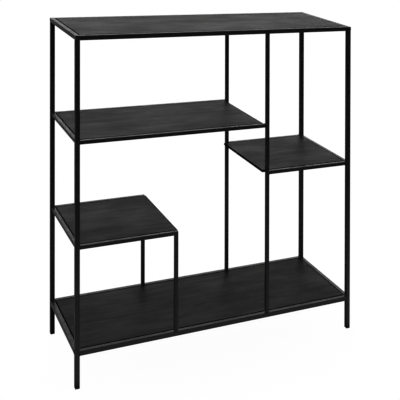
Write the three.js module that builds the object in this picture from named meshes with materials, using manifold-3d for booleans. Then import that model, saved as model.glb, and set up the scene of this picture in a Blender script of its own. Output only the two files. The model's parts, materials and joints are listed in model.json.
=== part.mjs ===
// Open steel-tube bookcase with staggered wooden boards.
//
// A welded box of square tube (legs, top frame, base frame) carries a second, slimmer set of tubes:
// two full-height uprights, two short posts and three part-width shelf frames. Five boards lie in the
// frames on flat steel straps, each strap held to its board by one screw from below.
//
// Units are millimetres. +X is the width to the right, +Y is the depth to the back, +Z is up.
// The origin is on the floor, under the middle of the bookcase.

import * as THREE from 'three';
import { mergeVertices } from 'three/addons/utils/BufferGeometryUtils.js';
import Module from 'manifold-3d';

const wasm = await Module();
wasm.setup();

// ---------------------------------------------------------------- overall size
const WIDTH = 1100;
const DEPTH = 356;
const HEIGHT = 1180;
const BASE_TOP = 125;              // top of the base frame above the floor

// ---------------------------------------------------------------- tubes
const FRAME = { size: 16, wall: 1.5, radius: 2.2 };   // legs, top frame, base frame
const BAR = { size: 13, wall: 1.2, radius: 1.8 };     // uprights, posts, inner shelf frames
const CORNER_DIVISIONS = 3;        // three.js gives an arc twice this many flats
const WELD_GAP = 0.3;              // between two pieces that are welded or rest on each other

// ---------------------------------------------------------------- boards
const BOARD = { thickness: 8, gap: 1.5, ease: 0.6 };  // gap: all round, to the frame
const UPPER_BOARD_SETBACK = 8;     // upper board's free edge stops this far short of the uprights
const SIDE_BOARD_OVERHANG = 10;    // side board's free edge runs this far past the uprights
const LOWER_BOARD_OVERHANG = 2;    // lower board's free edge runs this far past the posts

// ---------------------------------------------------------------- straps, screws, feet
const STRAP = { width: 20, thickness: 3, inset: 60 };  // inset: board end to strap middle
const SCREW = { shank: 3.6, head: 8, headHeight: 2.2, bite: 5.2, sides: 12 };
const SOCKET = { across: 2.6, depth: 1.3 };
const SCREW_CLEARANCE = 0.3;       // round the shank, and past its tip
const FOOT = { height: 8, ease: 1, stem: 18, wall: 1.4, clearance: 0.3 };

// ---------------------------------------------------------------- places worked out from those
const outerX = WIDTH / 2;
const outerY = DEPTH / 2;
const innerX = outerX - FRAME.size;           // clear space inside the box of legs
const innerY = outerY - FRAME.size;
const columnX = WIDTH / 6;                    // uprights at +columnX, posts at -columnX
const barX = innerX + BAR.size / 2;           // the slim tubes lie flush with the legs' inner faces
const barY = innerY + BAR.size / 2;
const frameX = outerX - FRAME.size / 2;
const frameY = outerY - FRAME.size / 2;
const LEVEL = {
  base: BASE_TOP,
  lower: BASE_TOP + (HEIGHT - BASE_TOP) / 3,
  side: (BASE_TOP + HEIGHT) / 2,
  upper: BASE_TOP + (HEIGHT - BASE_TOP) * 2 / 3,
  top: HEIGHT,
};

// ---------------------------------------------------------------- materials
function paintedSteel() {
  return new THREE.MeshStandardMaterial({ color: 0x1b1b1c, roughness: 0.5, metalness: 0.3 });
}

function blackBoard() {
  return new THREE.MeshStandardMaterial({ color: 0x2c2b2b, roughness: 0.55, metalness: 0 });
}

function blackPlastic() {
  return new THREE.MeshStandardMaterial({ color: 0x161616, roughness: 0.65, metalness: 0 });
}

function blackenedScrew() {
  return new THREE.MeshStandardMaterial({ color: 0x303030, roughness: 0.4, metalness: 0.8 });
}

// ---------------------------------------------------------------- solids
function toSolid(geometry) {
  const bare = geometry.index ? geometry.toNonIndexed() : geometry.clone();
  bare.deleteAttribute('normal');
  bare.deleteAttribute('uv');
  const merged = mergeVertices(bare, 1e-4);
  return new wasm.Manifold(new wasm.Mesh({
    numProp: 3,
    vertProperties: new Float32Array(merged.attributes.position.array),
    triVerts: new Uint32Array(merged.index.array),
  }));
}

function toGeometry(solid) {
  const mesh = solid.getMesh();
  const geometry = new THREE.BufferGeometry();
  geometry.setAttribute('position', new THREE.BufferAttribute(new Float32Array(mesh.vertProperties), 3));
  geometry.setIndex(new THREE.BufferAttribute(new Uint32Array(mesh.triVerts), 1));
  geometry.computeVertexNormals();
  return geometry;
}

function rectangle(target, x, y) {
  target.moveTo(-x / 2, -y / 2);
  target.lineTo(x / 2, -y / 2);
  target.lineTo(x / 2, y / 2);
  target.lineTo(-x / 2, y / 2);
  target.closePath();
  return target;
}

function roundedSquare(size, radius) {
  const target = new THREE.Shape();
  const half = size / 2;
  const flat = half - radius;
  target.moveTo(half, -flat);
  target.lineTo(half, flat);
  target.absarc(flat, flat, radius, 0, Math.PI / 2, false);
  target.lineTo(-flat, half);
  target.absarc(-flat, flat, radius, Math.PI / 2, Math.PI, false);
  target.lineTo(-half, -flat);
  target.absarc(-flat, -flat, radius, Math.PI, Math.PI * 3 / 2, false);
  target.lineTo(flat, -half);
  target.absarc(flat, -flat, radius, Math.PI * 3 / 2, Math.PI * 2, false);
  return target;
}

// A length of square tube along local +Z, starting at z = 0. A mitre [a, b] tilts that end's cut by
// a mm per mm of local x and b mm per mm of local y.
function tubeGeometry(tube, length, startMitre, endMitre) {
  const section = roundedSquare(tube.size, tube.radius);
  const bore = tube.size - 2 * tube.wall;
  section.holes.push(rectangle(new THREE.Path(), bore, bore));
  const geometry = new THREE.ExtrudeGeometry(section, {
    depth: length,
    bevelEnabled: false,
    curveSegments: CORNER_DIVISIONS,
  });
  const position = geometry.attributes.position;
  for (let i = 0; i < position.count; i += 1) {
    const mitre = position.getZ(i) > length / 2 ? endMitre : startMitre;
    const shift = mitre[0] * position.getX(i) + mitre[1] * position.getY(i);
    position.setZ(i, position.getZ(i) + shift);
  }
  geometry.computeVertexNormals();
  return geometry;
}

// A rectangular board or bar, x by y by thickness, centred in plan, its underside at z = 0.
function slabGeometry(x, y, thickness, ease) {
  const geometry = new THREE.ExtrudeGeometry(rectangle(new THREE.Shape(), x, y), {
    depth: thickness - 2 * ease,
    bevelEnabled: ease > 0,
    bevelThickness: ease,
    bevelSize: ease,
    bevelOffset: -ease,
    bevelSegments: 2,
  });
  return geometry.translate(0, 0, ease);
}

// An upright cylinder with its axis on (x, y), from zLow to zHigh.
function rod(radius, x, y, zLow, zHigh, sides) {
  const geometry = new THREE.CylinderGeometry(radius, radius, zHigh - zLow, sides);
  geometry.rotateX(Math.PI / 2);
  return geometry.translate(x, y, (zLow + zHigh) / 2);
}

// ---------------------------------------------------------------- scene graph helpers
const bookcase = new THREE.Group();

function addMesh(name, geometry, material, x, y, z) {
  const mesh = new THREE.Mesh(geometry, material);
  mesh.name = name;
  mesh.position.set(x, y, z);
  bookcase.add(mesh);
  return mesh;
}

const AXIS_X = new THREE.Vector3(1, 0, 0);
const AXIS_Y = new THREE.Vector3(0, 1, 0);
const AXIS_Z = new THREE.Vector3(0, 0, 1);
const SQUARE_CUT = [0, 0];
// Each mitred end is held back along its tube, so that the two faces keep the weld gap between them.
const MITRE_BACKOFF = WELD_GAP / Math.SQRT2;

function addTubeUp(name, tube, x, y, zLow, zHigh, endMitre = SQUARE_CUT) {
  addMesh(name, tubeGeometry(tube, zHigh - zLow, SQUARE_CUT, endMitre), paintedSteel(), x, y, zLow);
}

// Local x is world y and local y is world z on a tube that runs along X.
function addTubeAcross(name, tube, xLow, xHigh, y, z, startMitre = SQUARE_CUT, endMitre = SQUARE_CUT) {
  const geometry = tubeGeometry(tube, xHigh - xLow, startMitre, endMitre);
  const mesh = addMesh(name, geometry, paintedSteel(), xLow, y, z);
  mesh.setRotationFromMatrix(new THREE.Matrix4().makeBasis(AXIS_Y, AXIS_Z, AXIS_X));
}

// Local x is world z and local y is world x on a tube that runs along Y.
function addTubeDeep(name, tube, x, yLow, yHigh, z, startMitre = SQUARE_CUT, endMitre = SQUARE_CUT) {
  const geometry = tubeGeometry(tube, yHigh - yLow, startMitre, endMitre);
  const mesh = addMesh(name, geometry, paintedSteel(), x, yLow, z);
  mesh.setRotationFromMatrix(new THREE.Matrix4().makeBasis(AXIS_Z, AXIS_X, AXIS_Y));
}

const SIDES = [['left', -1], ['right', 1]];
const FACES = [['front', -1], ['back', 1]];

// ---------------------------------------------------------------- the welded box
function addLegs() {
  const zLow = FOOT.height + WELD_GAP;
  const zHigh = HEIGHT - FRAME.size - WELD_GAP;
  for (const [face, ySign] of FACES) {
    for (const [side, xSign] of SIDES) {
      addTubeUp(`leg_${face}_${side}`, FRAME, xSign * frameX, ySign * frameY, zLow, zHigh);
    }
  }
}

// The top frame is mitred at its four corners and lies on the legs.
function addTopFrame() {
  const z = HEIGHT - FRAME.size / 2;
  const x = frameX - MITRE_BACKOFF;
  const y = frameY - MITRE_BACKOFF;
  for (const [face, sign] of FACES) {
    addTubeAcross(`top_rail_${face}`, FRAME, -x, x, sign * frameY, z, [-sign, 0], [sign, 0]);
  }
  for (const [side, sign] of SIDES) {
    addTubeDeep(`top_rail_${side}`, FRAME, sign * frameX, -y, y, z, [0, -sign], [0, sign]);
  }
}

// The base frame's tubes are cut square and stand between the legs.
function addBaseFrame() {
  const z = LEVEL.base - FRAME.size / 2;
  const x = innerX - WELD_GAP;
  const y = innerY - WELD_GAP;
  for (const [face, sign] of FACES) {
    addTubeAcross(`base_rail_${face}`, FRAME, -x, x, sign * frameY, z);
  }
  for (const [side, sign] of SIDES) {
    addTubeDeep(`base_rail_${side}`, FRAME, sign * frameX, -y, y, z);
  }
}

// ---------------------------------------------------------------- the slim inner tubes
function addUprights() {
  const zLow = LEVEL.base + WELD_GAP;
  const zHigh = HEIGHT - FRAME.size - WELD_GAP;
  for (const [face, sign] of FACES) {
    addTubeUp(`upright_${face}`, BAR, columnX, sign * barY, zLow, zHigh);
  }
}

// Each short post and its lower shelf rail meet in a mitre at the free top corner.
function addPosts() {
  const zLow = LEVEL.base + WELD_GAP;
  const zHigh = LEVEL.lower - BAR.size / 2 - MITRE_BACKOFF;
  for (const [face, sign] of FACES) {
    addTubeUp(`post_${face}`, BAR, -columnX, sign * barY, zLow, zHigh, [1, 0]);
  }
}

function addUpperShelfFrame() {
  const z = LEVEL.upper - BAR.size / 2;
  const xLow = -innerX + WELD_GAP;
  const xHigh = columnX - BAR.size / 2 - WELD_GAP;
  for (const [face, sign] of FACES) {
    addTubeAcross(`upper_rail_${face}`, BAR, xLow, xHigh, sign * barY, z);
  }
  addTubeDeep('upper_rail_left', BAR, -barX, -innerY + WELD_GAP, innerY - WELD_GAP, z);
}

function addSideShelfFrame() {
  const z = LEVEL.side - BAR.size / 2;
  const xLow = columnX + BAR.size / 2 + WELD_GAP;
  const xHigh = innerX - WELD_GAP;
  for (const [face, sign] of FACES) {
    addTubeAcross(`side_rail_${face}`, BAR, xLow, xHigh, sign * barY, z);
  }
  addTubeDeep('side_rail_right', BAR, barX, -innerY + WELD_GAP, innerY - WELD_GAP, z);
}

function addLowerShelfFrame() {
  const z = LEVEL.lower - BAR.size / 2;
  const xLow = -innerX + WELD_GAP;
  const xHigh = -columnX - MITRE_BACKOFF;
  for (const [face, sign] of FACES) {
    addTubeAcross(`lower_rail_${face}`, BAR, xLow, xHigh, sign * barY, z, SQUARE_CUT, [0, 1]);
  }
  addTubeDeep('lower_rail_left', BAR, -barX, -innerY + WELD_GAP, innerY - WELD_GAP, z);
}

// ---------------------------------------------------------------- boards, straps and screws
const strapTop = -BOARD.thickness - WELD_GAP;            // below the shelf's level
const strapBottom = strapTop - STRAP.thickness;
const headTop = strapBottom - WELD_GAP;
const screwTip = -BOARD.thickness + SCREW.bite;

function addBoard(name, xLow, xHigh, level, strapXs) {
  const depth = 2 * (innerY - BOARD.gap);
  const middle = (xLow + xHigh) / 2;
  let solid = toSolid(slabGeometry(xHigh - xLow, depth, BOARD.thickness, BOARD.ease));
  for (const x of strapXs) {
    const radius = SCREW.shank / 2 + SCREW_CLEARANCE;
    const zHigh = SCREW.bite + SCREW_CLEARANCE;
    const pilot = rod(radius, x - middle, 0, -BOARD.thickness, zHigh, SCREW.sides);
    solid = solid.subtract(toSolid(pilot));
  }
  addMesh(name, toGeometry(solid), blackBoard(), middle, 0, level - BOARD.thickness);
}

function strapGeometry() {
  const length = 2 * (innerY - WELD_GAP);
  const bar = toSolid(slabGeometry(STRAP.width, length, STRAP.thickness, 0));
  const radius = SCREW.shank / 2 + SCREW_CLEARANCE;
  const hole = rod(radius, 0, 0, -STRAP.thickness, 2 * STRAP.thickness, SCREW.sides);
  return toGeometry(bar.subtract(toSolid(hole)));
}

// A domed screw with a hexagon socket, its head below and its tip up, measured from the shelf's level.
function screwGeometry() {
  const shank = SCREW.shank / 2;
  const head = SCREW.head / 2;
  const crown = headTop - SCREW.headHeight;
  const profile = [
    new THREE.Vector2(0, crown),
    new THREE.Vector2(head * 0.6, crown + SCREW.headHeight * 0.12),
    new THREE.Vector2(head * 0.9, crown + SCREW.headHeight * 0.45),
    new THREE.Vector2(head, headTop),
    new THREE.Vector2(shank, headTop),
    new THREE.Vector2(shank, screwTip - shank),
    new THREE.Vector2(0, screwTip),
  ];
  const body = new THREE.LatheGeometry(profile, SCREW.sides);
  body.rotateX(Math.PI / 2);
  const socket = rod(SOCKET.across / 2, 0, 0, crown - 1, crown + SOCKET.depth, 6);
  return toGeometry(toSolid(body).subtract(toSolid(socket)));
}

function addStraps(shelf, level, strapXs) {
  strapXs.forEach((x, index) => {
    const number = index + 1;
    addMesh(`${shelf}_strap_${number}`, strapGeometry(), paintedSteel(), x, 0, level + strapBottom);
    addMesh(`${shelf}_screw_${number}`, screwGeometry(), blackenedScrew(), x, 0, level);
  });
}

// Straps at both ends of a board, with more between them where count asks.
function strapPlaces(xLow, xHigh, count) {
  const first = xLow + STRAP.inset;
  const last = xHigh - STRAP.inset;
  return Array.from({ length: count }, (_, i) => first + (last - first) * i / (count - 1));
}

function addShelfFilling(shelf, xLow, xHigh, level, strapCount) {
  const strapXs = strapPlaces(xLow, xHigh, strapCount);
  addBoard(`${shelf}_board`, xLow, xHigh, level, strapXs);
  addStraps(shelf, level, strapXs);
}

function addBoards() {
  const left = -innerX + BOARD.gap;
  const right = innerX - BOARD.gap;
  const uprightLeft = columnX - BAR.size / 2;
  const postRight = -columnX + BAR.size / 2;
  addShelfFilling('top', left, right, LEVEL.top, 3);
  addShelfFilling('base', left, right, LEVEL.base, 3);
  addShelfFilling('upper', left, uprightLeft - UPPER_BOARD_SETBACK, LEVEL.upper, 2);
  addShelfFilling('side', uprightLeft - SIDE_BOARD_OVERHANG, right, LEVEL.side, 2);
  addShelfFilling('lower', left, postRight + LOWER_BOARD_OVERHANG, LEVEL.lower, 2);
}

// ---------------------------------------------------------------- feet
// A plastic plug: a cap as wide as the leg, and a hollow stem pushed up inside it.
function footGeometry() {
  const cap = new THREE.ExtrudeGeometry(roundedSquare(FRAME.size, FRAME.radius), {
    depth: FOOT.height - FOOT.ease,
    bevelEnabled: true,
    bevelThickness: FOOT.ease,
    bevelSize: FOOT.ease,
    bevelOffset: -FOOT.ease,
    bevelSegments: 2,
    curveSegments: CORNER_DIVISIONS,
  });
  cap.translate(0, 0, FOOT.ease);
  const trim = slabGeometry(2 * FRAME.size, 2 * FRAME.size, 2 * FOOT.ease, 0);
  trim.translate(0, 0, FOOT.height);
  const stemSize = FRAME.size - 2 * FRAME.wall - 2 * FOOT.clearance;
  const stem = slabGeometry(stemSize, stemSize, FOOT.stem + FOOT.ease, 0);
  stem.translate(0, 0, FOOT.height - FOOT.ease);
  const hollowSize = stemSize - 2 * FOOT.wall;
  const hollow = slabGeometry(hollowSize, hollowSize, FOOT.stem + 2 * FOOT.ease, 0);
  hollow.translate(0, 0, FOOT.height);
  const plug = toSolid(cap).subtract(toSolid(trim)).add(toSolid(stem)).subtract(toSolid(hollow));
  return toGeometry(plug);
}

function addFeet() {
  for (const [face, ySign] of FACES) {
    for (const [side, xSign] of SIDES) {
      addMesh(`foot_${face}_${side}`, footGeometry(), blackPlastic(), xSign * frameX, ySign * frameY, 0);
    }
  }
}

addLegs();
addTopFrame();
addBaseFrame();
addUprights();
addPosts();
addUpperShelfFrame();
addSideShelfFrame();
addLowerShelfFrame();
addBoards();
addFeet();

export default bookcase;
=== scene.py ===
"""The looks of the open steel-tube bookcase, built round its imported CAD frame.

Lengths are metres. +X is the width to the right, +Y the depth to the back and +Z up, as in the frame.
"""
import json
import math
import random

import bmesh
import bpy
from mathutils import Matrix, Vector, noise as field


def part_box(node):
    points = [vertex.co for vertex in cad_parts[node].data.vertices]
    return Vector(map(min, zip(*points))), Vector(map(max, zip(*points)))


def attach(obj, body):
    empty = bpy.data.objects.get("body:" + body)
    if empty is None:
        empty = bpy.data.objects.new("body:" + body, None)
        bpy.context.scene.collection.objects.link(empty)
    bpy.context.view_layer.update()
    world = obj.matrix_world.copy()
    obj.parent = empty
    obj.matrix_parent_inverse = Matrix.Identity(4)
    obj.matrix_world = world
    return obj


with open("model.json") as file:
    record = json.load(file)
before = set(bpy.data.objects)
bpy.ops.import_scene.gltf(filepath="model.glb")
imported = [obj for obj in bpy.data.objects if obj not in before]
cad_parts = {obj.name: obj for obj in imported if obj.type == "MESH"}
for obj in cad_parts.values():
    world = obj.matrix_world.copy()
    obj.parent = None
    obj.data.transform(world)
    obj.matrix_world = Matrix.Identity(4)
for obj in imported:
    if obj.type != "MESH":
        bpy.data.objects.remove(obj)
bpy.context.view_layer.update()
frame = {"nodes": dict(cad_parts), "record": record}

MM = 0.001
SEED = 11
CONTRAST_GAMMA = 0.7
FLOOR_Z = 0.0
FLOOR_RADIUS = 40.0
FLOOR_GLOW = 0.97

# The camera stands to the front left, above the bookcase. Its film stays upright while it aims down.
CAMERA_AT = Vector((-1.247, -2.697, 1.686))
CAMERA_YAW = math.radians(24.52)
CAMERA_PITCH = math.radians(-0.46)
CAMERA_ROLL = math.radians(0.12)
AIM_DROP = 0.3902          # the middle of the view falls this much for each metre ahead
LEVEL_TILT = 0.0483        # level lines across the view rise by this much of their length
LENS = 75.3 * MM
FILM_WIDTH = 36 * MM

CARD_SIZE = (2.4, 0.9)     # the bounce card in front of the bookcase
CARD_AT = (0.2, -0.65)
CARD_DROP = 2 * MM         # below the floor
CARD_GLOW = 0.55

# The sky's brightness. Heights in it are the sine of the angle above the horizon.
WALL_GLOW = 0.30           # low down, behind the bookcase
WALL_SHADE = 0.05          # low down, on the camera's side
RING_GLOW = 4.2
RING_FOOT = 0.20
RING_PEAK = 0.36
RING_END = 0.48
OVERHEAD = 0.07            # share of the ring's glow that is left above it
GROUND_GLOW = 0.55         # below the horizon, behind the bookcase

EDGE_BAND_AND_GAP_SHADE = 2.8 * MM       # black band round each board's edges: part glued edge banding, part painted shade of the gap to the rails
TUBE_CORNER = 2 * MM       # radius of the square tubes' corners
WELD_RADIUS = 1.1 * MM     # half the width of a weld bead round a tube's end
WELD_STEP = 1.5 * MM       # from one ripple of the bead to the next
WELD_SIDES = 8
TACK_REACH = (4.4 * MM, 1.7 * MM, 3.6 * MM)    # half the size of a tack weld on a front or back face
TACK_OFF_CENTRE = 2 * MM   # from the middle of a leg's top to its tack

random.seed(SEED)


# ------------------------------------------------------------------ shader helpers
def node(tree, kind, **inputs):
    """A new shader node. Each named input takes a number, a colour or another node's output."""
    made = tree.nodes.new(kind)
    for name, value in inputs.items():
        socket = made.inputs[name.replace("_", " ")]
        if isinstance(value, bpy.types.NodeSocket):
            tree.links.new(value, socket)
        else:
            socket.default_value = value
    return made


def maths(tree, operation, first, second=0.0, third=0.0):
    """The output of a Math node. Each operand is a number or another node's output."""
    made = tree.nodes.new("ShaderNodeMath")
    made.operation = operation
    for socket, value in zip(made.inputs, (first, second, third)):
        if isinstance(value, bpy.types.NodeSocket):
            tree.links.new(value, socket)
        else:
            socket.default_value = value
    return made.outputs[0]


def spread(tree, value, low, high, to_low=0.0, to_high=1.0):
    """value, remapped from low..high to to_low..to_high with soft ends."""
    made = node(tree, "ShaderNodeMapRange", Value=value)
    made.interpolation_type = "SMOOTHSTEP"
    for name, number in (("From Min", low), ("From Max", high), ("To Min", to_low), ("To Max", to_high)):
        made.inputs[name].default_value = number
    return made.outputs["Result"]


def mix_colours(tree, factor, first, second):
    made = tree.nodes.new("ShaderNodeMix")
    made.data_type = "RGBA"
    for name, value in (("Factor_Float", factor), ("A_Color", first), ("B_Color", second)):
        socket = next(s for s in made.inputs if s.identifier == name)
        if isinstance(value, bpy.types.NodeSocket):
            tree.links.new(value, socket)
        else:
            socket.default_value = value
    return next(s for s in made.outputs if s.identifier == "Result_Color")


def placed(tree, stretch, offset=(0, 0, 0)):
    """The object's own coordinates in metres, moved by offset and then multiplied by stretch."""
    coordinates = node(tree, "ShaderNodeTexCoord").outputs["Object"]
    moved = tree.nodes.new("ShaderNodeVectorMath")
    moved.operation = "ADD"
    tree.links.new(coordinates, moved.inputs[0])
    moved.inputs[1].default_value = offset
    scaled = tree.nodes.new("ShaderNodeVectorMath")
    scaled.operation = "MULTIPLY"
    tree.links.new(moved.outputs[0], scaled.inputs[0])
    scaled.inputs[1].default_value = stretch
    return scaled.outputs[0]


def noise(tree, vector, scale=1.0, detail=2.0, roughness=0.5):
    return node(
        tree, "ShaderNodeTexNoise", Vector=vector, Scale=scale, Detail=detail, Roughness=roughness,
    ).outputs["Fac"]


def bumped(tree, height, strength, distance, under=None):
    made = node(tree, "ShaderNodeBump", Height=height, Strength=strength, Distance=distance)
    if under is not None:
        tree.links.new(under, made.inputs["Normal"])
    return made.outputs["Normal"]


def new_material(name):
    material = bpy.data.materials.new(name)
    material.use_nodes = True
    tree = material.node_tree
    return material, tree, tree.nodes["Principled BSDF"]


# ------------------------------------------------------------------ materials
def powder_coat():
    """Matte black powder coat: an orange-peel skin, cloudy sheen, and a lighter band along the tube's edges
    that is part wear and part painted highlight.
    """
    material, tree, shader = new_material("powder_coat")
    clouds = noise(tree, placed(tree, (1, 1, 1)), scale=38, detail=3)
    peel = noise(tree, placed(tree, (1, 1, 1)), scale=900, detail=2)
    grit = noise(tree, placed(tree, (1, 1, 1)), scale=2600, detail=1)
    edge = node(tree, "ShaderNodeBevel", Radius=1.2 * MM)
    edge.samples = 4
    flat = node(tree, "ShaderNodeNewGeometry").outputs["Normal"]
    turn = tree.nodes.new("ShaderNodeVectorMath")
    turn.operation = "DOT_PRODUCT"
    tree.links.new(edge.outputs[0], turn.inputs[0])
    tree.links.new(flat, turn.inputs[1])
    # Lighter along the tube's edges: part wear, part painted highlight.
    rub_and_edge_highlight = spread(tree, turn.outputs["Value"], 0.995, 0.9)
    rub_and_edge_highlight = maths(tree, "MULTIPLY", rub_and_edge_highlight, spread(tree, clouds, 0.35, 0.65))
    colour = mix_colours(tree, clouds, (0.0200, 0.0196, 0.0192, 1), (0.0300, 0.0294, 0.0288, 1))
    colour = mix_colours(tree, maths(tree, "MULTIPLY", rub_and_edge_highlight, 0.5), colour, (0.075, 0.073, 0.071, 1))
    tree.links.new(colour, shader.inputs["Base Color"])
    sheen = spread(tree, clouds, 0.3, 0.7, 0.36, 0.46)
    tree.links.new(sheen, shader.inputs["Roughness"])
    shader.inputs["Specular IOR Level"].default_value = 0.5
    skin = bumped(tree, peel, 0.20, 0.05 * MM)
    skin = bumped(tree, grit, 0.10, 0.02 * MM, under=skin)
    tree.links.new(skin, shader.inputs["Normal"])
    return material


def clear_of_edge_band_and_shade(tree, low, high):
    """1 on the face of the board between corners low and high, 0 on the black band along its edges, which is
    part edge banding and part painted shade of the gap to the rails.
    """
    parts = node(tree, "ShaderNodeSeparateXYZ", Vector=placed(tree, (1, 1, 1)))
    inset = 1.0
    for axis in (0, 1):
        middle = (low[axis] + high[axis]) / 2
        half = (high[axis] - low[axis]) / 2
        from_middle = maths(tree, "ABSOLUTE", maths(tree, "SUBTRACT", parts.outputs[axis], middle))
        inset = maths(tree, "MINIMUM", maths(tree, "SUBTRACT", half, from_middle), inset)
    return spread(tree, inset, 0.8 * EDGE_BAND_AND_GAP_SHADE, 1.2 * EDGE_BAND_AND_GAP_SHADE)


def black_ash(name, sheet, low, high):
    """Black-stained ash veneer with its grain along X. sheet is where this board is cut from the log."""
    material, tree, shader = new_material(name)
    drift = noise(tree, placed(tree, (1.6, 5, 1), sheet), scale=1, detail=2)
    coordinates = placed(tree, (1, 1, 1), sheet)
    parts = node(tree, "ShaderNodeSeparateXYZ", Vector=coordinates)
    across = maths(tree, "MULTIPLY_ADD", drift, 0.085, parts.outputs["Y"])
    bent = node(
        tree, "ShaderNodeCombineXYZ", X=parts.outputs["X"], Y=across, Z=parts.outputs["Z"]
    ).outputs[0]

    def along_grain(length, width, detail, roughness=0.55):
        """Streaks about length long and width wide."""
        scaled = tree.nodes.new("ShaderNodeVectorMath")
        scaled.operation = "MULTIPLY"
        tree.links.new(bent, scaled.inputs[0])
        scaled.inputs[1].default_value = (1 / length, 1 / width, 1 / width)
        return noise(tree, scaled.outputs[0], detail=detail, roughness=roughness)

    clouds = noise(tree, placed(tree, (7, 15, 1), sheet), detail=3)
    bands = along_grain(0.34, 0.013, 3)
    fibres = along_grain(0.11, 0.0022, 3)
    pores = along_grain(0.022, 0.0008, 1)
    open_pores = maths(tree, "MULTIPLY", spread(tree, pores, 0.56, 0.70), spread(tree, bands, 0.62, 0.42))
    tone = maths(tree, "MULTIPLY_ADD", fibres, 0.50, maths(tree, "MULTIPLY", bands, 0.30))
    tone = maths(tree, "MULTIPLY_ADD", clouds, 0.50, tone)
    tone = spread(tree, tone, 0.36, 0.96)
    face = clear_of_edge_band_and_shade(tree, low, high)
    colour = mix_colours(tree, tone, (0.0200, 0.0190, 0.0184, 1), (0.0420, 0.0403, 0.0390, 1))
    colour = mix_colours(tree, maths(tree, "MULTIPLY", open_pores, 0.7), colour, (0.010, 0.010, 0.010, 1))
    # Near-black round the board's edges: part edge banding, part painted shade where the board meets the
    # rails.
    colour = mix_colours(tree, face, (0.006, 0.006, 0.006, 1), colour)
    tree.links.new(colour, shader.inputs["Base Color"])
    sheen = spread(tree, tone, 0.0, 1.0, 0.56, 0.40)
    sheen = maths(tree, "MULTIPLY_ADD", face, -0.25, maths(tree, "ADD", sheen, 0.25))
    tree.links.new(sheen, shader.inputs["Roughness"])
    tree.links.new(spread(tree, face, 0.0, 1.0, 0.04, 0.13), shader.inputs["Specular IOR Level"])
    relief = bumped(tree, tone, 0.30, 0.20 * MM)
    relief = bumped(tree, maths(tree, "SUBTRACT", 1.0, open_pores), 0.5, 0.15 * MM, under=relief)
    tree.links.new(relief, shader.inputs["Normal"])
    return material


def moulded_plastic():
    """Black plastic with a fine grain, scuffed in streaks."""
    material, tree, shader = new_material("moulded_plastic")
    grain = noise(tree, placed(tree, (1, 1, 1)), scale=1400, detail=2)
    scuffs = noise(tree, placed(tree, (1, 1, 0.3)), scale=160, detail=3)
    scuffed = spread(tree, scuffs, 0.45, 0.75)
    colour = mix_colours(tree, scuffed, (0.010, 0.010, 0.010, 1), (0.030, 0.030, 0.029, 1))
    tree.links.new(colour, shader.inputs["Base Color"])
    tree.links.new(spread(tree, scuffs, 0.3, 0.7, 0.55, 0.75), shader.inputs["Roughness"])
    tree.links.new(bumped(tree, grain, 0.4, 0.06 * MM), shader.inputs["Normal"])
    return material


def blackened_steel():
    """Dark oxidised steel with a blotchy stain."""
    material, tree, shader = new_material("blackened_steel")
    stain = noise(tree, placed(tree, (1, 1, 1)), scale=420, detail=3)
    colour = mix_colours(tree, stain, (0.030, 0.029, 0.028, 1), (0.085, 0.083, 0.080, 1))
    tree.links.new(colour, shader.inputs["Base Color"])
    tree.links.new(spread(tree, stain, 0.3, 0.7, 0.34, 0.52), shader.inputs["Roughness"])
    shader.inputs["Metallic"].default_value = 1.0
    tree.links.new(bumped(tree, stain, 0.25, 0.04 * MM), shader.inputs["Normal"])
    return material


def dress_nodes(paint):
    """Gives every CAD node its material, by the record's slot. Each board is cut from its own place."""
    plain = {
        "frame_paint": paint,
        "foot_plastic": moulded_plastic(),
        "screw_black": blackened_steel(),
    }
    cut = 0
    for row in frame["record"]["subparts"]:
        piece = frame["nodes"][row["node"]]
        if row["material_slot"] in plain:
            piece.data.materials[0] = plain[row["material_slot"]]
            continue
        cut += 1
        sheet = (0.37 * cut, 1.3 * cut, 0.21 * cut)
        piece.data.materials[0] = black_ash("black_ash_" + row["node"], sheet, *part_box(row["node"]))


# ------------------------------------------------------------------ welds
def add_piece(name, shape, paint):
    """Turns a bmesh into a smooth painted piece that belongs to the frame."""
    mesh = bpy.data.meshes.new(name)
    for face in shape.faces:
        face.smooth = True
    shape.to_mesh(mesh)
    shape.free()
    mesh.materials.append(paint)
    piece = bpy.data.objects.new(name, mesh)
    bpy.context.scene.collection.objects.link(piece)
    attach(piece, "root")


def square_path(half):
    """Points round a square with rounded corners, each with its outward direction."""
    flat = half - TUBE_CORNER
    steps = max(2, round(2 * flat / WELD_STEP))
    points = []
    for corner in range(4):
        turn = Matrix.Rotation(corner * math.pi / 2, 2)
        for step in range(steps):
            along = -flat + 2 * flat * step / steps
            points.append((turn @ Vector((half, along)), turn @ Vector((1, 0))))
        for angle in (0.0, math.pi / 6, math.pi / 3):
            outward = Vector((math.cos(angle), math.sin(angle)))
            points.append((turn @ (Vector((flat, flat)) + TUBE_CORNER * outward), turn @ outward))
    return points


def add_weld(name, end, along, half, paint):
    """A rippled bead round a square tube's end. along is the tube's own axis."""
    along = Vector(along)
    side = Vector((0, 0, 1)) if abs(along.z) < 0.5 else Vector((1, 0, 0))
    third = along.cross(side)
    shape = bmesh.new()
    rings = []
    for place, outward in square_path(half):
        radius = WELD_RADIUS * random.uniform(0.72, 1.0)
        slip = along * random.uniform(-0.15, 0.15) * MM
        middle = Vector(end) + side * place.x + third * place.y + slip
        out = side * outward.x + third * outward.y
        ring = []
        for number in range(WELD_SIDES):
            angle = 2 * math.pi * number / WELD_SIDES
            ring.append(shape.verts.new(middle + radius * (out * math.cos(angle) + along * math.sin(angle))))
        rings.append(ring)
    for first, second in zip(rings, rings[1:] + rings[:1]):
        for number in range(WELD_SIDES):
            after = (number + 1) % WELD_SIDES
            shape.faces.new((first[number], first[after], second[after], second[number]))
    bmesh.ops.recalc_face_normals(shape, faces=shape.faces)
    add_piece(name, shape, paint)


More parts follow.
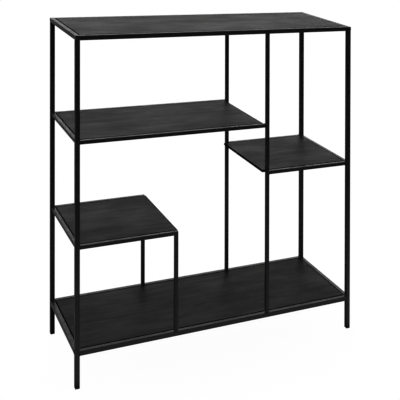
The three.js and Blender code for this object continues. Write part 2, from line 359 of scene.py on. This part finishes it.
def add_tack(name, place, paint):
    """A low lump of weld metal, left on a front or back face."""
    shape = bmesh.new()
    bmesh.ops.create_icosphere(shape, subdivisions=3, radius=1.0)
    seed = Vector([random.uniform(0, 50) for _ in range(3)])
    for vert in shape.verts:
        swell = 1 + 0.35 * field.noise(vert.co * 1.4 + seed) + 0.10 * field.noise(vert.co * 4.5 + seed)
        vert.co = Vector(place) + Vector([c * r * swell for c, r in zip(vert.co, TACK_REACH)])
    add_piece(name, shape, paint)


def welded_ends(name):
    """Which ends of a tube are cut square and stand against another tube."""
    if name.startswith("top_rail_") or not ("_rail_" in name or name.startswith(("upright_", "post_"))):
        return ()
    if name.startswith(("post_", "lower_rail_front", "lower_rail_back")):
        return ("start",)
    return ("start", "end")


def tack_plane(end):
    """How far in front of or behind the middle the face lies that a tack at end stands on.

    In front it is the leg's face throughout, so the two tacks on the upright stand about 1 mm off it.
    """
    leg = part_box("leg_back_left")
    if end.y > 0 and abs(end.x) < abs(leg[1].x) / 2:
        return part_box("upright_back")[1].y
    return leg[1].y


def add_tube_welds(name, paint):
    """A bead round each welded end of a tube, and a tack beyond it if the tube runs left to right."""
    low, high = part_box(name)
    size = high - low
    axis = max(range(3), key=lambda i: size[i])
    along = Vector([float(i == axis) for i in range(3)])
    for place in welded_ends(name):
        end = (low + high) / 2
        end[axis] = (low if place == "start" else high)[axis]
        add_weld(f"weld_{name}_{place}", end, along, min(size) / 2, paint)
        if axis == 0:
            outward = -1 if place == "start" else 1
            at = (end.x + outward * TACK_REACH[0], math.copysign(tack_plane(end), end.y), high.z)
            add_tack(f"tack_{name}_{place}", at, paint)


def add_welds(paint):
    """The welds of every tube, and a tack at the top of each leg."""
    for name in frame["nodes"]:
        add_tube_welds(name, paint)
    for name in ("leg_front_left", "leg_front_right", "leg_back_left", "leg_back_right"):
        low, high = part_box(name)
        middle = (low + high) / 2
        beside = middle.x - math.copysign(TACK_OFF_CENTRE, middle.x)
        add_tack(f"tack_{name}", (beside, math.copysign(tack_plane(middle), middle.y), high.z), paint)


# ------------------------------------------------------------------ studio
def studio_piece(name, shape, material):
    """Turns a bmesh into an object with one material."""
    mesh = bpy.data.meshes.new(name)
    shape.to_mesh(mesh)
    shape.free()
    mesh.materials.append(material)
    piece = bpy.data.objects.new(name, mesh)
    bpy.context.scene.collection.objects.link(piece)
    return piece


def only_for_camera(piece):
    piece.visible_diffuse = False
    piece.visible_glossy = False
    piece.visible_transmission = False
    piece.visible_volume_scatter = False
    piece.visible_shadow = False


def glow_white(shader, strength):
    shader.inputs["Emission Color"].default_value = (1, 1, 1, 1)
    shader.inputs["Emission Strength"].default_value = strength


def add_floor():
    """A pale floor that only the camera sees. It glows, and the sky lights it a little more."""
    shape = bmesh.new()
    bmesh.ops.create_circle(shape, cap_ends=True, segments=96, radius=FLOOR_RADIUS)
    material, tree, shader = new_material("studio_floor")
    grain = noise(tree, placed(tree, (1, 1, 1)), scale=6, detail=3)
    colour = mix_colours(tree, grain, (0.05, 0.05, 0.05, 1), (0.07, 0.07, 0.07, 1))
    tree.links.new(colour, shader.inputs["Base Color"])
    shader.inputs["Roughness"].default_value = 0.9
    shader.inputs["Specular IOR Level"].default_value = 0.0
    glow_white(shader, FLOOR_GLOW)
    floor = studio_piece("floor", shape, material)
    floor.location.z = FLOOR_Z
    only_for_camera(floor)


def add_backdrop():
    """A white dome far away that only the camera sees."""
    shape = bmesh.new()
    bmesh.ops.create_uvsphere(shape, u_segments=48, v_segments=24, radius=FLOOR_RADIUS * 0.99)
    material, _, shader = new_material("studio_white")
    shader.inputs["Base Color"].default_value = (0, 0, 0, 1)
    glow_white(shader, 1.0)
    dome = studio_piece("backdrop", shape, material)
    only_for_camera(dome)


def add_bounce_card():
    """A glowing white card before the bookcase. Only the bookcase sees it, as it would a bright floor."""
    shape = bmesh.new()
    bmesh.ops.create_grid(shape, x_segments=1, y_segments=1, size=0.5)
    material, _, shader = new_material("card_white")
    shader.inputs["Base Color"].default_value = (0, 0, 0, 1)
    shader.inputs["Specular IOR Level"].default_value = 0.0
    glow_white(shader, CARD_GLOW)
    card = studio_piece("bounce_card", shape, material)
    card.scale = (*CARD_SIZE, 1)
    card.location = (*CARD_AT, FLOOR_Z - CARD_DROP)
    card.visible_camera = False
    card.visible_shadow = False


def add_world():
    """The sky: a low dim wall, brighter behind the bookcase and to the right, under a bright ring.

    A glow below the horizon stands in for the far floor, which the tubes' left faces mirror.
    """
    world = bpy.data.worlds.new("studio")
    world.use_nodes = True
    tree = world.node_tree
    direction = node(tree, "ShaderNodeTexCoord").outputs["Generated"]
    parts = node(tree, "ShaderNodeSeparateXYZ", Vector=direction)
    x, y, z = (parts.outputs[axis] for axis in "XYZ")
    behind = spread(tree, y, -0.20, 0.65, WALL_SHADE, WALL_GLOW)
    rightward = spread(tree, x, -0.52, 0.30, 0.20, 1.0)
    over_horizon = spread(tree, z, -0.30, 0.10, 0.30, 1.0)
    wall = maths(tree, "MULTIPLY", maths(tree, "MULTIPLY", behind, rightward), over_horizon)
    rising = spread(tree, z, RING_FOOT, RING_PEAK, 0.0, RING_GLOW)
    fading = spread(tree, z, RING_PEAK, RING_END, 1.0, OVERHEAD)
    round_it = spread(tree, y, -0.60, 0.60, 0.70, 1.0)
    ring = maths(tree, "MULTIPLY", maths(tree, "MULTIPLY", rising, fading), round_it)
    far_floor = spread(tree, y, 0.30, 0.85, 0.0, GROUND_GLOW)
    far_right = spread(tree, x, -0.48, -0.15, 0.10, 1.0)
    below = spread(tree, z, -0.02, -0.15)
    ground = maths(tree, "MULTIPLY", maths(tree, "MULTIPLY", far_floor, far_right), below)
    strength = maths(tree, "ADD", maths(tree, "ADD", wall, ring), ground)
    background = tree.nodes["Background"]
    background.inputs["Color"].default_value = (1, 1, 1, 1)
    tree.links.new(strength, background.inputs["Strength"])
    bpy.context.scene.world = world


def add_camera():
    """A view camera. Its lens drops and its film tilts a little, so the uprights stay parallel."""
    data = bpy.data.cameras.new("camera")
    data.lens = LENS / MM
    data.sensor_width = FILM_WIDTH / MM
    data.clip_start = 0.1
    data.clip_end = 4 * FLOOR_RADIUS
    camera = bpy.data.objects.new("camera", data)
    stand = bpy.data.objects.new("camera_stand", None)
    for item in (camera, stand):
        bpy.context.scene.collection.objects.link(item)
    ahead = Vector((
        math.sin(CAMERA_YAW) * math.cos(CAMERA_PITCH),
        math.cos(CAMERA_YAW) * math.cos(CAMERA_PITCH),
        math.sin(CAMERA_PITCH),
    ))
    level = Vector((math.cos(CAMERA_YAW), -math.sin(CAMERA_YAW), 0))
    upright = level.cross(ahead)
    right = level * math.cos(CAMERA_ROLL) + upright * math.sin(CAMERA_ROLL)
    up = upright * math.cos(CAMERA_ROLL) - level * math.sin(CAMERA_ROLL)
    across = right + up * LEVEL_TILT
    back = up * AIM_DROP - ahead
    camera.parent = stand
    camera.matrix_parent_inverse = Matrix((
        (across.x, up.x, back.x, CAMERA_AT.x),
        (across.y, up.y, back.y, CAMERA_AT.y),
        (across.z, up.z, back.z, CAMERA_AT.z),
        (0, 0, 0, 1),
    ))
    bpy.context.scene.camera = camera


add_floor()
add_backdrop()
add_bounce_card()
add_world()
add_camera()
paint = powder_coat()
dress_nodes(paint)
add_welds(paint)
bpy.context.scene.view_settings.view_transform = "Standard"
bpy.context.scene.view_settings.gamma = CONTRAST_GAMMA
